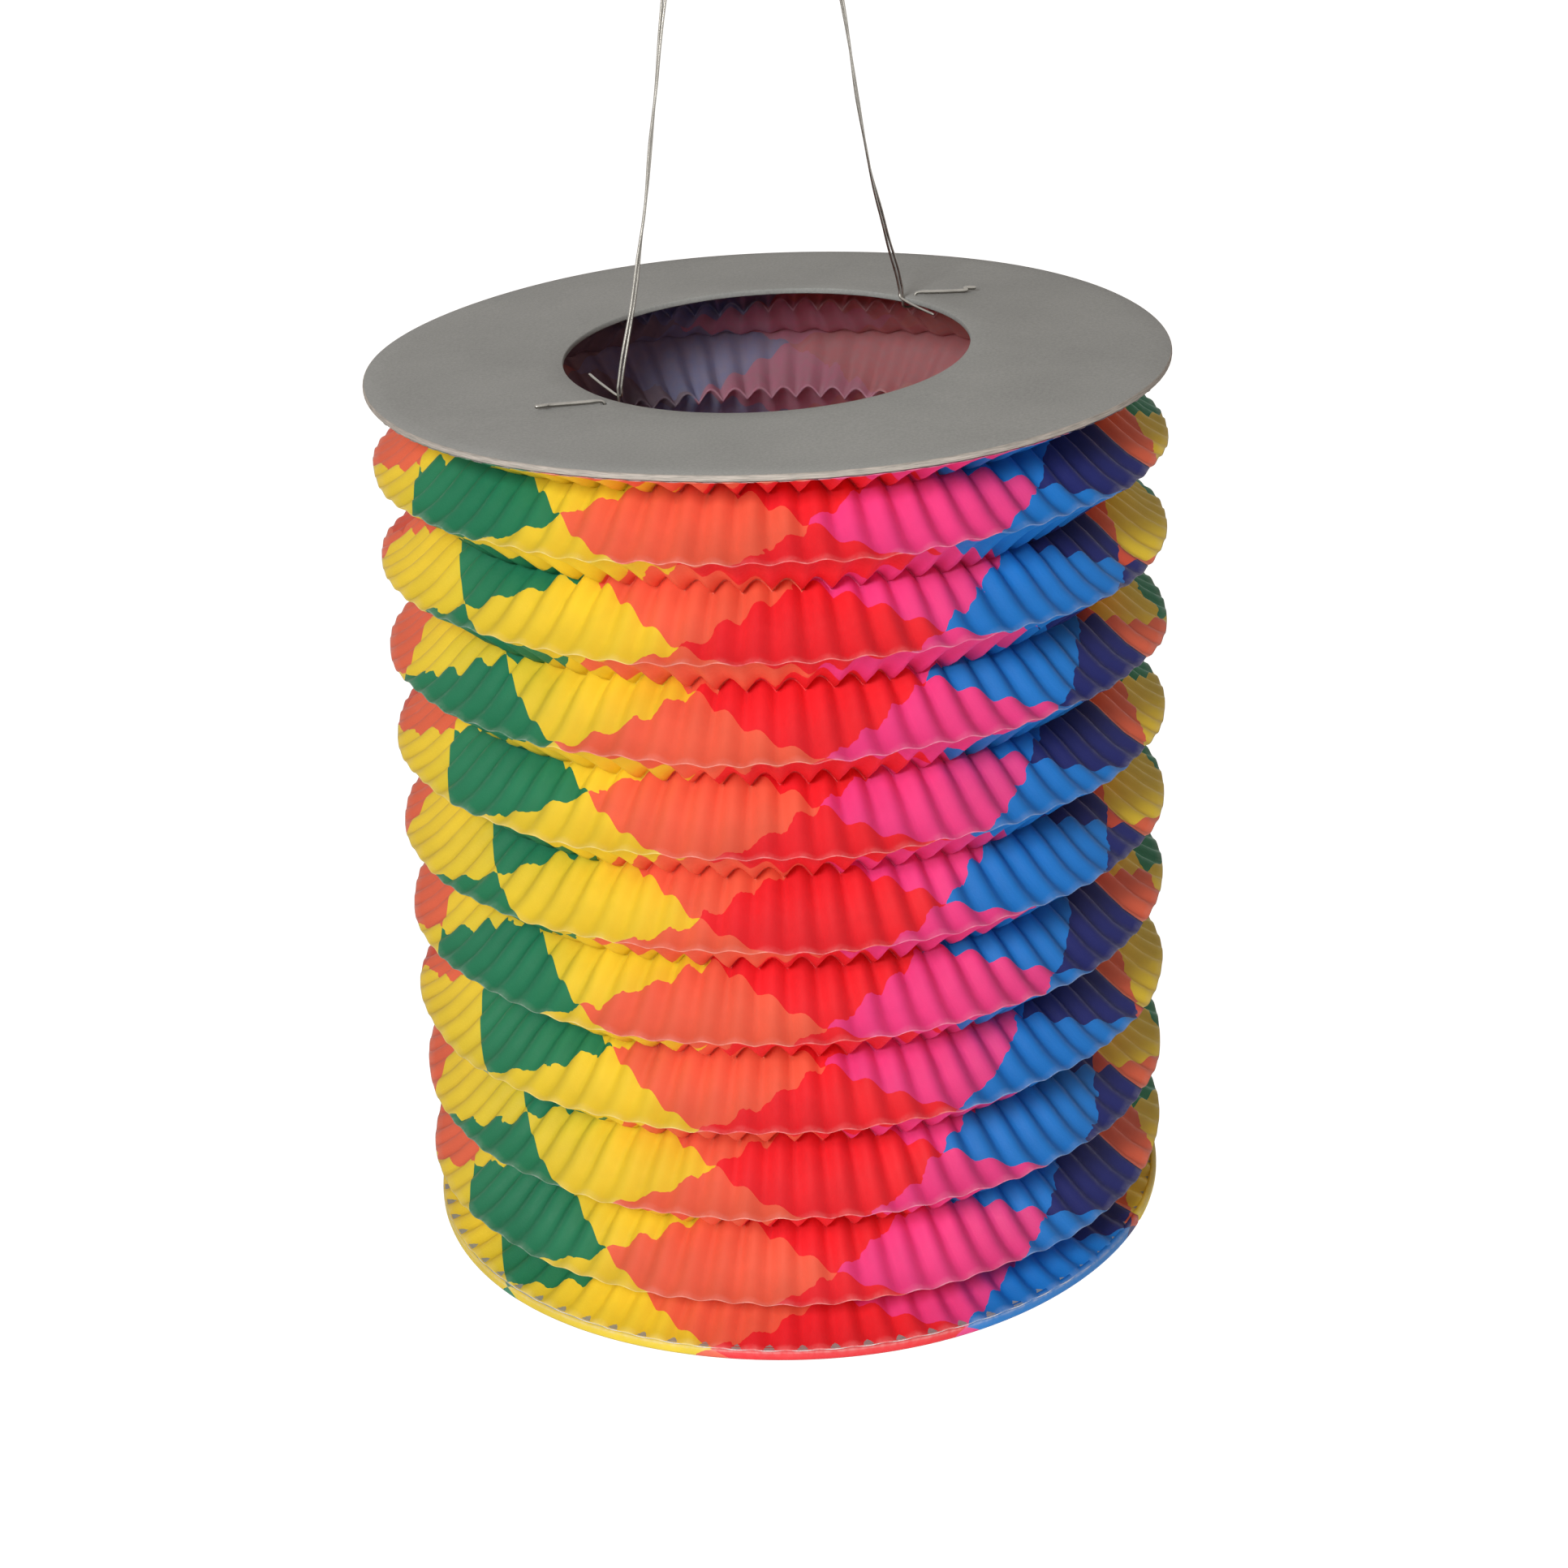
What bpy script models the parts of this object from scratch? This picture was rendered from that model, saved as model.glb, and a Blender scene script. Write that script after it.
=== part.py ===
"""Accordion paper lantern on a wire bail.

A grey board ring and a grey board base disc are joined by one pleated paper sleeve, which folds
flat. Two thin steel wires run side by side from one edge of the ring's hole, up over the hanging
point and down to the other edge, where their four ends hold the ring. A stamped tin candle holder
stands on the base.

The origin is the hanging point, on the inside of the bail's top bend, and +Z is up. The bail's
hinge line runs along X just above the ring.
"""

import math

import bmesh
import bpy
from mathutils import Vector

# Driving dimensions, in metres.
GAP = 0.0003                # between pieces that touch on the real lantern
RING_RADIUS = 0.0800
RING_HOLE_RADIUS = 0.0405
RING_BOARD = 0.0012
BASE_RADIUS = 0.0784
BASE_BOARD = 0.0018

PAPER = 0.0003
RIDGE_RADIUS = 0.0796
VALLEY_RADIUS = 0.0635
PLEAT_PITCH = 0.01925       # ridge to ridge, hanging open
PLEAT_COUNT = 10
FIRST_PLEAT_SHARE = 0.81    # the glued end pleats open less than the others
LAST_PLEAT_SHARE = 0.58
TOP_MARGIN = 0.011          # glued flat under the ring

WIRE_RADIUS = 0.000275
STRAND_SPACING = 0.0009     # between the two wires' centre lines
BAIL_RISE = 0.1500          # ring top to hanging point
HINGE_RISE = 0.0016         # ring top to the line where the wires bend
STRAND_FOOT_RISE = 0.0021   # ring top to the lowest point of the swinging wires
END_TOP_RISE = 0.0009       # ring top to the highest point of the held wire ends
WIRE_INSET = 0.0008         # hole edge to the outer wire where it passes down
PINHOLE_OFFSET = 0.0029     # hole edge to the pinhole's centre
PINHOLE_RADIUS = 0.00070

TIN = 0.0004
SAUCER_RADIUS = 0.0190
SAUCER_FLOOR_RADIUS = 0.0172
SAUCER_RIM = 0.0028
CANDLE_RADIUS = 0.0064      # a 12.5 mm lantern candle with a little room
PRONG_COUNT = 4
PRONG_WIDTH = 0.0042
PRONG_HEIGHT = 0.0115
TAB_RADIUS = 0.0120
TAB_WIDTH = 0.0050
TAB_CLINCH = 0.0050
SLOT_ROOM = 0.0003
FLUSH_DEPTH = 0.00005       # the clinched tabs stay this far inside the base's underside

SLEEVE_STEPS = 48
ROUND_STEPS = 72
SMALL_STEPS = 32
POINTS_PER_SPAN = 3

# Levels along Z.
RING_TOP = -BAIL_RISE
RING_BOTTOM = RING_TOP - RING_BOARD
HINGE_Z = RING_TOP + HINGE_RISE
SLEEVE_TOP = RING_BOTTOM - GAP
SLEEVE_HEIGHT = PLEAT_PITCH * (PLEAT_COUNT - 2 + FIRST_PLEAT_SHARE + LAST_PLEAT_SHARE)
BASE_TOP = SLEEVE_TOP - SLEEVE_HEIGHT
BASE_BOTTOM = BASE_TOP - BASE_BOARD
SAUCER_BOTTOM = BASE_TOP + GAP

OUTER_FOOT_X = RING_HOLE_RADIUS - WIRE_INSET
INNER_FOOT_X = OUTER_FOOT_X - STRAND_SPACING
PINHOLE_X = RING_HOLE_RADIUS + PINHOLE_OFFSET

# One leg of the bail, midway between its two wires: distance from the middle, and rise above the
# ring's top. The legs lean in quickly at the foot and close up towards the bend at the top.
BAIL_LEG = (
    (OUTER_FOOT_X - STRAND_SPACING / 2, STRAND_FOOT_RISE),
    (0.0380, 0.0070),
    (0.0354, 0.0150),
    (0.0329, 0.0240),
    (0.0303, 0.0340),
    (0.0281, 0.0450),
    (0.0260, 0.0560),
    (0.0232, 0.0700),
    (0.0160, 0.1000),
    (0.0106, 0.1220),
    (0.0063, 0.1390),
    (0.0034, 0.1470),
)


def clear_scene():
    for item in list(bpy.data.objects):
        bpy.data.objects.remove(item, do_unlink=True)


def make_collection(name):
    collection = bpy.data.collections.new(name)
    bpy.context.scene.collection.children.link(collection)
    return collection


def make_material(name, colour, roughness, metallic=0.0):
    material = bpy.data.materials.new(name)
    material.use_nodes = True
    shader = material.node_tree.nodes["Principled BSDF"]
    shader.inputs["Base Color"].default_value = (*colour, 1.0)
    shader.inputs["Roughness"].default_value = roughness
    shader.inputs["Metallic"].default_value = metallic
    return material


def add_object(name, data, collection, material=None):
    item = bpy.data.objects.new(name, data)
    collection.objects.link(item)
    if material is not None:
        data.materials.append(material)
    return item


def add_mesh(name, build, collection, material=None):
    """An object whose mesh is drawn by build(bm)."""
    mesh = bpy.data.meshes.new(name)
    bm = bmesh.new()
    build(bm)
    bm.to_mesh(mesh)
    bm.free()
    return add_object(name, mesh, collection, material)


def add_cylinder(name, radius, low, high, collection, material=None, x=0.0, steps=ROUND_STEPS):
    def build(bm):
        bmesh.ops.create_cone(bm, cap_ends=True, segments=steps, radius1=radius, radius2=radius,
                              depth=high - low)
    item = add_mesh(name, build, collection, material)
    item.location = (x, 0.0, (low + high) / 2)
    return item


def add_box(name, size, out, level, turn, collection):
    """A box centred at that level and that far out from the Z axis, in the direction turn."""
    def build(bm):
        bmesh.ops.create_cube(bm, size=1.0)
        bmesh.ops.scale(bm, vec=Vector(size), verts=bm.verts)
    item = add_mesh(name, build, collection)
    spin = math.radians(turn)
    item.location = (out * math.cos(spin), out * math.sin(spin), level)
    item.rotation_euler = (0.0, 0.0, spin)
    return item


def add_turned(name, profile, steps, thickness, collection, material):
    """A thin turned shell: a profile of (radius, z), listed down its outer side."""
    def build(bm):
        points = [bm.verts.new((radius, 0.0, z)) for radius, z in profile]
        for first, second in zip(points, points[1:]):
            bm.edges.new((first, second))
    item = add_mesh(name, build, collection, material)
    screw = item.modifiers.new("turn", "SCREW")
    screw.axis = "Z"
    screw.angle = math.tau
    screw.steps = steps
    screw.render_steps = steps
    screw.use_merge_vertices = True
    screw.merge_threshold = 0.00005
    solidify = item.modifiers.new("thickness", "SOLIDIFY")
    solidify.thickness = thickness
    solidify.offset = -1.0
    solidify.use_even_offset = True
    return item


def hide_cutter(item):
    item.hide_render = True
    item.display_type = "WIRE"


def add_boolean(item, other, operation):
    """Cuts item with other, or joins other to it. The other object stays as a hidden guide."""
    hide_cutter(other)
    modifier = item.modifiers.new(other.name, "BOOLEAN")
    modifier.operation = operation
    modifier.solver = "EXACT"
    modifier.object = other


def smooth_curve(points, per_span):
    """Points along a smooth curve through the given ones (Catmull-Rom)."""
    points = [Vector(point) for point in points]
    padded = [2 * points[0] - points[1], *points, 2 * points[-1] - points[-2]]
    curve = []
    for index in range(1, len(padded) - 2):
        before, start, end, after = padded[index - 1:index + 3]
        for step in range(per_span):
            t = step / per_span
            curve.append(0.5 * (2 * start + (end - before) * t
                                + (2 * before - 5 * start + 4 * end - after) * t ** 2
                                + (3 * start - 3 * end + after - before) * t ** 3))
    curve.append(points[-1])
    return curve


def add_wire(name, points, collection, material):
    curve = bpy.data.curves.new(name, "CURVE")
    curve.dimensions = "3D"
    curve.bevel_depth = WIRE_RADIUS
    curve.bevel_resolution = 2
    curve.use_fill_caps = True
    spline = curve.splines.new("POLY")
    spline.points.add(len(points) - 1)
    for target, point in zip(spline.points, points):
        target.co = (*point, 1.0)
    return add_object(name, curve, collection, material)


def sleeve_profile():
    """The paper from its margin under the ring down to the base disc's lower edge."""
    shares = [1.0] * PLEAT_COUNT
    shares[0] = FIRST_PLEAT_SHARE
    shares[-1] = LAST_PLEAT_SHARE
    level = SLEEVE_TOP
    profile = [(RIDGE_RADIUS - TOP_MARGIN, level), (RIDGE_RADIUS, level)]
    for share in shares:
        rise = PLEAT_PITCH * share
        profile.append((VALLEY_RADIUS, level - rise / 2))
        level -= rise
        profile.append((RIDGE_RADIUS, level))
    profile.append((RIDGE_RADIUS, BASE_BOTTOM + GAP))
    return profile


def bail_line(offset):
    """One of the bail's wires, foot to foot, offset from the bail's middle line."""
    leg = [Vector((x, 0.0, RING_TOP + rise)) for x, rise in BAIL_LEG]
    top = Vector((0.0, 0.0, WIRE_RADIUS + STRAND_SPACING / 2))
    mirrored = [Vector((-point.x, 0.0, point.z)) for point in reversed(leg)]
    middle = smooth_curve([*leg, top, *mirrored], POINTS_PER_SPAN)
    line = []
    for index, point in enumerate(middle):
        ahead = middle[min(index + 1, len(middle) - 1)]
        behind = middle[max(index - 1, 0)]
        along = (ahead - behind).normalized()
        outward = Vector((along.z, 0.0, -along.x))
        line.append(point + outward * offset)
    line[0].z = RING_TOP + STRAND_FOOT_RISE
    line[-1].z = RING_TOP + STRAND_FOOT_RISE
    return line


def card_end_route():
    """The outer wire's end: down past the hole's edge, under the ring, up through the pinhole and
    out along the ring's top. Outward distance, sideways distance, height above the ring's top."""
    return (
        (OUTER_FOOT_X, 0.0, END_TOP_RISE),
        (OUTER_FOOT_X, 0.0, -RING_BOARD),
        (OUTER_FOOT_X + 0.0004, 0.0, -RING_BOARD - 0.0007),
        (OUTER_FOOT_X + 0.0018, 0.0, -RING_BOARD - 0.0010),
        (PINHOLE_X - 0.0004, 0.0, -RING_BOARD - 0.0007),
        (PINHOLE_X, 0.0, -RING_BOARD),
        (PINHOLE_X, 0.0, 0.0),
        (PINHOLE_X + 0.0006, 0.0004, 0.00060),
        (PINHOLE_X + 0.0030, 0.0019, 0.00062),
        (PINHOLE_X + 0.0064, 0.0042, 0.00064),
        (PINHOLE_X + 0.0092, 0.0059, 0.00072),
        (PINHOLE_X + 0.0099, 0.0052, 0.00100),
        (PINHOLE_X + 0.0118, 0.0064, 0.00095),
    )


def hole_end_route():
    """The inner wire's end, bent sideways inside the ring's hole."""
    return (
        (INNER_FOOT_X, 0.0, END_TOP_RISE),
        (INNER_FOOT_X - 0.0001, 0.0004, 0.00035),
        (INNER_FOOT_X - 0.0006, 0.0018, 0.00010),
        (INNER_FOOT_X - 0.0017, 0.0043, 0.00015),
        (INNER_FOOT_X - 0.0032, 0.0076, 0.00035),
        (INNER_FOOT_X - 0.0046, 0.0107, 0.00065),
    )


def place_end(route, side):
    """A wire end's route on the left (side -1) or, turned half a turn, on the right (side 1)."""
    points = [Vector((side * out, -side * across, RING_TOP + height))
              for out, across, height in route]
    return smooth_curve(points, 2)


def make_top_ring(parts, cutters, material):
    ring = add_cylinder("top_ring", RING_RADIUS, RING_BOTTOM, RING_TOP, parts, material)
    hole = add_cylinder("ring_hole_cutter", RING_HOLE_RADIUS, RING_BOTTOM - RING_BOARD,
                        RING_TOP + RING_BOARD, cutters)
    add_boolean(ring, hole, "DIFFERENCE")
    for side, word in ((-1, "left"), (1, "right")):
        pinhole = add_cylinder(f"pinhole_cutter_{word}", PINHOLE_RADIUS, RING_BOTTOM - RING_BOARD,
                               RING_TOP + RING_BOARD, cutters, x=side * PINHOLE_X, steps=12)
        add_boolean(ring, pinhole, "DIFFERENCE")


def make_sleeve(parts, material):
    add_turned("paper_bellows", sleeve_profile(), SLEEVE_STEPS, PAPER, parts, material)


def make_base(parts, cutters, material):
    base = add_cylinder("base_disc", BASE_RADIUS, BASE_BOTTOM, BASE_TOP, parts, material)
    slot_width = TAB_WIDTH + 2 * SLOT_ROOM
    pocket_top = BASE_BOTTOM + FLUSH_DEPTH + TIN + SLOT_ROOM
    pocket_length = TAB_CLINCH + TIN / 2 + 2 * SLOT_ROOM
    pocket_out = TAB_RADIUS + pocket_length / 2 - TIN / 2 - SLOT_ROOM
    for turn, word in ((0, "right"), (180, "left")):
        slot = add_box(f"slot_cutter_{word}", (TIN + 2 * SLOT_ROOM, slot_width, 2 * BASE_BOARD),
                       TAB_RADIUS, BASE_TOP, turn, cutters)
        pocket = add_box(f"pocket_cutter_{word}",
                         (pocket_length, slot_width, 2 * (pocket_top - BASE_BOTTOM)),
                         pocket_out, BASE_BOTTOM, turn, cutters)
        add_boolean(slot, pocket, "UNION")
        add_boolean(base, slot, "DIFFERENCE")


def make_candle_holder(parts, cutters, material):
    rim = SAUCER_BOTTOM + SAUCER_RIM
    floor = SAUCER_BOTTOM + TIN
    profile = [(CANDLE_RADIUS, floor), (SAUCER_FLOOR_RADIUS, floor), (SAUCER_RADIUS, rim)]
    holder = add_turned("candle_holder", profile, SMALL_STEPS, TIN, parts, material)
    for index in range(PRONG_COUNT):
        turn = 45 + 360 * index / PRONG_COUNT
        prong = add_box(f"prong_{index + 1}", (TIN, PRONG_WIDTH, PRONG_HEIGHT),
                        CANDLE_RADIUS + TIN / 2, SAUCER_BOTTOM + TIN / 4 + PRONG_HEIGHT / 2,
                        turn, cutters)
        add_boolean(holder, prong, "UNION")
    tab_foot = BASE_BOTTOM + FLUSH_DEPTH
    tab_head = SAUCER_BOTTOM + TIN * 0.75
    for turn, word in ((0, "right"), (180, "left")):
        leg = add_box(f"tab_leg_{word}", (TIN, TAB_WIDTH, tab_head - tab_foot),
                      TAB_RADIUS, (tab_head + tab_foot) / 2, turn, cutters)
        clinch = add_box(f"tab_clinch_{word}", (TAB_CLINCH, TAB_WIDTH * 0.96, TIN),
                         TAB_RADIUS + TAB_CLINCH / 2, tab_foot + TIN / 2, turn, cutters)
        add_boolean(leg, clinch, "UNION")
        add_boolean(holder, leg, "UNION")


def make_bail(parts, material):
    add_wire("bail_wire_outer", bail_line(STRAND_SPACING / 2), parts, material)
    add_wire("bail_wire_inner", bail_line(-STRAND_SPACING / 2), parts, material)


def make_wire_ends(parts, material):
    for side, word in ((-1, "left"), (1, "right")):
        add_wire(f"wire_end_card_{word}", place_end(card_end_route(), side), parts, material)
        add_wire(f"wire_end_hole_{word}", place_end(hole_end_route(), side), parts, material)


def main():
    clear_scene()
    parts = make_collection("accordion_paper_lantern")
    cutters = make_collection("cutters")
    board = make_material("grey_board", (0.26, 0.26, 0.24), 0.8)
    paper = make_material("printed_paper", (0.80, 0.10, 0.08), 0.55)
    steel = make_material("steel_wire", (0.62, 0.61, 0.58), 0.28, 1.0)
    tin = make_material("tinplate", (0.70, 0.70, 0.70), 0.32, 1.0)
    make_top_ring(parts, cutters, board)
    make_sleeve(parts, paper)
    make_base(parts, cutters, board)
    make_candle_holder(parts, cutters, tin)
    make_bail(parts, steel)
    make_wire_ends(parts, steel)


main()
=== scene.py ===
"""Looks of the accordion paper lantern: printed, fluted and pleated paper sleeve, grey board ring
and base, twisted wire bail and tin candle holder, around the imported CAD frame.

Metres, +Z up. The lantern's axis is the Z axis and the bail's hinge line runs along X.
"""

import math

import bmesh
import bpy
import numpy as np
from mathutils import Matrix, Vector


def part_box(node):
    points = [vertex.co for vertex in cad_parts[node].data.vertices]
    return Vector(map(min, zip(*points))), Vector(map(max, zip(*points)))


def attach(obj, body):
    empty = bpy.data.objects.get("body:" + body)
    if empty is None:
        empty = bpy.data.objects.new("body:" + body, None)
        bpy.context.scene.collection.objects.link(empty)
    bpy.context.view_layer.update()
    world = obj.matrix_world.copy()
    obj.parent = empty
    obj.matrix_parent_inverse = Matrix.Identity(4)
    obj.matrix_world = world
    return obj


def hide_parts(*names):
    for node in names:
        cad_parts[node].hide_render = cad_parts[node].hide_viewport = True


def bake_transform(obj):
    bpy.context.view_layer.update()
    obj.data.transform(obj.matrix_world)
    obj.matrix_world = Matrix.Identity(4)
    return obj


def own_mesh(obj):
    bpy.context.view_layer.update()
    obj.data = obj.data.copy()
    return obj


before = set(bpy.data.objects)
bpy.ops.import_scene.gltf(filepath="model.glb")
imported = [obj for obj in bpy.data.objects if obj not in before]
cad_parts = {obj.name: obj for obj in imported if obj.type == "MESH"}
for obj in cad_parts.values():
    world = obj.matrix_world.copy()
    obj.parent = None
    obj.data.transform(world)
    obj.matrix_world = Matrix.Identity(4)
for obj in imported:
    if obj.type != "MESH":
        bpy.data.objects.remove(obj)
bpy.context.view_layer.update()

# Places that come from the CAD frame.
RING_LOW, RING_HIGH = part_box("top_ring")
_, PAPER_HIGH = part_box("paper_bellows")
BASE_LOW, BASE_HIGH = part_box("base_disc")
RING_TOP = RING_HIGH.z
RING_BOTTOM = RING_LOW.z
RING_RADIUS = RING_HIGH.x
RIDGE_RADIUS = PAPER_HIGH.x
SLEEVE_TOP = PAPER_HIGH.z
BASE_TOP = BASE_HIGH.z
BASE_BOTTOM = BASE_LOW.z
BASE_RADIUS = BASE_HIGH.x
SLEEVE_HEIGHT = SLEEVE_TOP - BASE_TOP

# The ring, as the CAD has it.
HOLE_RADIUS = 0.0405
PINHOLE_X = 0.0434
PINHOLE_RADIUS = 0.0007
BOARD_THICKNESS = RING_TOP - RING_BOTTOM

# The paper sleeve.
PLEAT_COUNT = 10
FIRST_PLEAT_SHARE = 0.81
FIRST_VALLEY_SHARE = 0.39   # the first valley lies high, close under the ring
LAST_PLEAT_SHARE = 0.58
VALLEY_RADIUS = 0.0635
FOOT_RADIUS = BASE_RADIUS + 0.0004
TOP_MARGIN = 0.011
PAPER = 0.00018
FLUTE_COUNT = 74
FLUTE_COLUMNS = 8
RIDGE_RUFFLE = 0.006        # share of the flutes' slack that is left at a ridge
RIDGE_SHARPNESS = 0.10      # how sharp the flutes' troughs are near a ridge, beside a valley's 1
FLUTE_FADE = 0.36           # how late the flutes die away towards a ridge
FLUTE_DEPTH = 0.00138       # rise and fall of the ruffle at a valley, to each side
SEAM_TURN = -69.0           # degrees: the glued joint where one sheet's edge lies on the other
GLUE_COLUMNS = 5            # how far a sheet runs on under its neighbour
GLUE_INSET = 0.00045        # how far in it lies there
GLUE_STEP = 2               # columns over which it steps out again
# Across one side of a pleat, from ridge to valley: closer where the paper turns.
HALF_PLEAT_STEPS = (0.0, 0.022, 0.10, 0.28, 0.46, 0.64, 0.82, 0.965)
RIDGE_ROUNDING = 0.00012
VALLEY_ROUNDING = 0.00025
PINCH = 0.42                # how much flatter the paper lies close to a fold than between folds
CREASE_WIDTH = 0.0006       # paper length each side of a ridge over which the painted highlight along the fold fades out
VALLEY_HIGHLIGHT = 0.35        # strength of the painted highlight along a valley, beside a ridge's 1

# The harlequin print: diamonds of these widths and heights, in columns of one colour.
DIAMOND_TURN = 37.74        # degrees, point to point
DIAMOND_HEIGHT = 0.02741    # along the paper, point to point
DIAMOND_START = 0.0273      # paper length from the ring to the middle of a row
SHEET_ONE_TURN = -223.17    # degrees: where the first column's middle lies on each sheet
SHEET_TWO_TURN = -71.2
COLUMN_COLOURS = (
    (230, 105, 72),         # orange
    (238, 208, 52),         # yellow
    (34, 125, 88),          # green
    (238, 208, 52),
    (236, 104, 76),         # salmon
    (233, 38, 48),          # red
    (234, 66, 138),         # pink
    (26, 124, 205),         # blue
    (32, 38, 104),          # navy
    (214, 80, 56),          # brick
)

# The other colours, as linear light unless said otherwise.
FOLD_HIGHLIGHT_COLOUR = (0.90, 0.84, 0.80)     # painted highlight along the folds
# How strongly the painted highlight along the folds covers the ink.
FOLD_HIGHLIGHT_STRENGTH = 0.34
# Painted shade and painted light through the print: the inside's white paper, darkened and tinted mauve.
INSIDE_SHADE_AND_SHOW_THROUGH = (0.31, 0.235, 0.25)
BOARD_TINT = (0.98, 1.0, 0.96)
EDGE_DARK = (0.30, 0.28, 0.25)
EDGE_PALE = (0.62, 0.56, 0.50)
STEEL = (160, 157, 150)             # screen colour
TIN = (200, 200, 198)               # screen colour

# The sleeve's small irregularities.
COLUMN_TURN = 360 / (FLUTE_COUNT * FLUTE_COLUMNS)
HABIT_SEED = 11
WAVE_COUNTS = (3, 5, 9, 17)     # waves round the lantern, for the folds' slow sway
RADIUS_WAVE = 0.0004
LEVEL_WAVE = 0.0005
FOLD_STRENGTH = (0.82, 1.12)    # a flute's depth at one fold, beside the usual
FLUTE_STRENGTH = (0.80, 1.15)   # and all the way down
FLUTE_LEAN = 0.16           # radians: how far a flute strays from its even place
HANG_FOLDS = 4              # how many folds down the sleeve still follows the ring's tilt

# How the ring is bent as it hangs.
RING_WARP = 0.0003
WARP_WAVES = ((2, 0.6, 1.0), (5, 2.0, 0.45))    # waves round the edge, phase, share
RIM_TILT = 0.0010
RIM_TILT_TURN = 5.0         # degrees: the way in which the outer edge is lifted
HOLE_LIFT = 0.0010          # the hole's edge is pulled up with the bail, most near its far foot
HOLE_TILT = 0.0018
HOLE_TILT_TURN = 13.0
LIFT_FADE = 0.030           # height over which the bail's legs take up that lift
PULL_FADE = 1.5             # how fast the hole's own lift dies away towards the outer edge
ROUND_STEPS = 144
BOARD_STEPS = 8             # across the board, from the hole to the outer edge
CORNER = 0.00022            # how far the board's corners are crushed
EDGE_SWELL = 0.00004
PINHOLE_SIDES = 16

# The wires.
STRAND_TURNS = 2.0
FREE_RATE = 9               # the strands run free past a ninth of the way from a foot
CLOSENESS = (0.24, 0.07, 31)    # how far they close up: middle, swing and rate along the wire
KINK = 0.00012
KINK_RATES = (37, 83)
DRIFT_RATES = (29, 71)
SMALL_KINK = 0.6            # the faster kinks, beside the slower
WIRE_RADIUS = 0.000275
WIRE_SIDES = 8
SNIPPED = 0.55              # a wire's cut end, beside its full thickness
TAIL_SWELL = 1.5            # an end on the card is that much thicker
TAIL_START = PINHOLE_X + 0.0004
TAIL_RAMP = 0.0016
OUTER_SEED = 5
INNER_SEED = 8
BAIL_STEPS = 12             # between two of the bail's points
END_STEPS = 8
JOIN_SHARES = (0.25, 0.5, 0.75)
STRAND_SPACING = 0.0009
OUTER_FOOT_X = HOLE_RADIUS - 0.0008
INNER_FOOT_X = OUTER_FOOT_X - STRAND_SPACING
BAIL_LEG = (                # one leg: distance from the middle, rise above the ring's top
    (OUTER_FOOT_X - STRAND_SPACING / 2, 0.0021),
    (0.0380, 0.0070),
    (0.0354, 0.0150),
    (0.0329, 0.0240),
    (0.0303, 0.0340),
    (0.0281, 0.0450),
    (0.0260, 0.0560),
    (0.0232, 0.0700),
    (0.0160, 0.1000),
    (0.0106, 0.1220),
    (0.0063, 0.1390),
    (0.0034, 0.1470),
)

# The camera, placed as the lantern was seen.
CAMERA_TURN = -134.0        # degrees round the lantern's axis
CAMERA_REACH = 0.5959
CAMERA_RISE = 0.1610        # above the ring's top
CAMERA_PITCH = 23.13
CAMERA_ROLL = -2.31
CAMERA_LENS = 70.6

# The studio.
FLOOR_Z = -1.3
COVE_RADIUS = 9.0
COVE_BEND = 2.0             # radius of the curve between floor and wall
COVE_BEND_STEPS = 12
WALL_HEIGHT = 5.0
CEILING_HEIGHT = 9.0
CEILING_DROP = 1.0          # where the ceiling slopes down towards the wall
CEILING_SHARE = 0.6
COVE_STEPS = 48
WORLD_LIGHT = 0.19
WORLD_TINT = (1.0, 0.84, 0.72, 1.0)
LIGHTS = (                  # name, turn, height, reach, size, power
    ("key", -153.0, 0.55, 1.00, 0.26, 8.4),
    ("bounce", -130.0, -0.63, 0.90, 0.90, 6.2),
)


def linear(colour):
    """A screen colour, 0 to 255, as linear light."""
    shares = [channel / 255 for channel in colour]
    return tuple(c / 12.92 if c <= 0.04045 else ((c + 0.055) / 1.055) ** 2.4 for c in shares)


def add_camera():
    turn = math.radians(CAMERA_TURN)
    pitch = math.radians(CAMERA_PITCH)
    roll = math.radians(CAMERA_ROLL)
    forward = Vector((-math.cos(turn) * math.cos(pitch), -math.sin(turn) * math.cos(pitch),
                      -math.sin(pitch)))
    level = forward.cross(Vector((0, 0, 1))).normalized()
    above = level.cross(forward)
    right = level * math.cos(roll) + above * math.sin(roll)
    up = above * math.cos(roll) - level * math.sin(roll)
    data = bpy.data.cameras.new("camera")
    data.lens = CAMERA_LENS
    data.clip_start = 0.01
    data.clip_end = 100.0
    camera = bpy.data.objects.new("camera", data)
    bpy.context.scene.collection.objects.link(camera)
    rotation = Matrix((right, up, -forward)).transposed().to_4x4()
    place = Vector((math.cos(turn) * CAMERA_REACH, math.sin(turn) * CAMERA_REACH,
                    RING_TOP + CAMERA_RISE))
    camera.matrix_world = Matrix.Translation(place) @ rotation
    bpy.context.scene.camera = camera


# ---------------------------------------------------------------- materials

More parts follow.
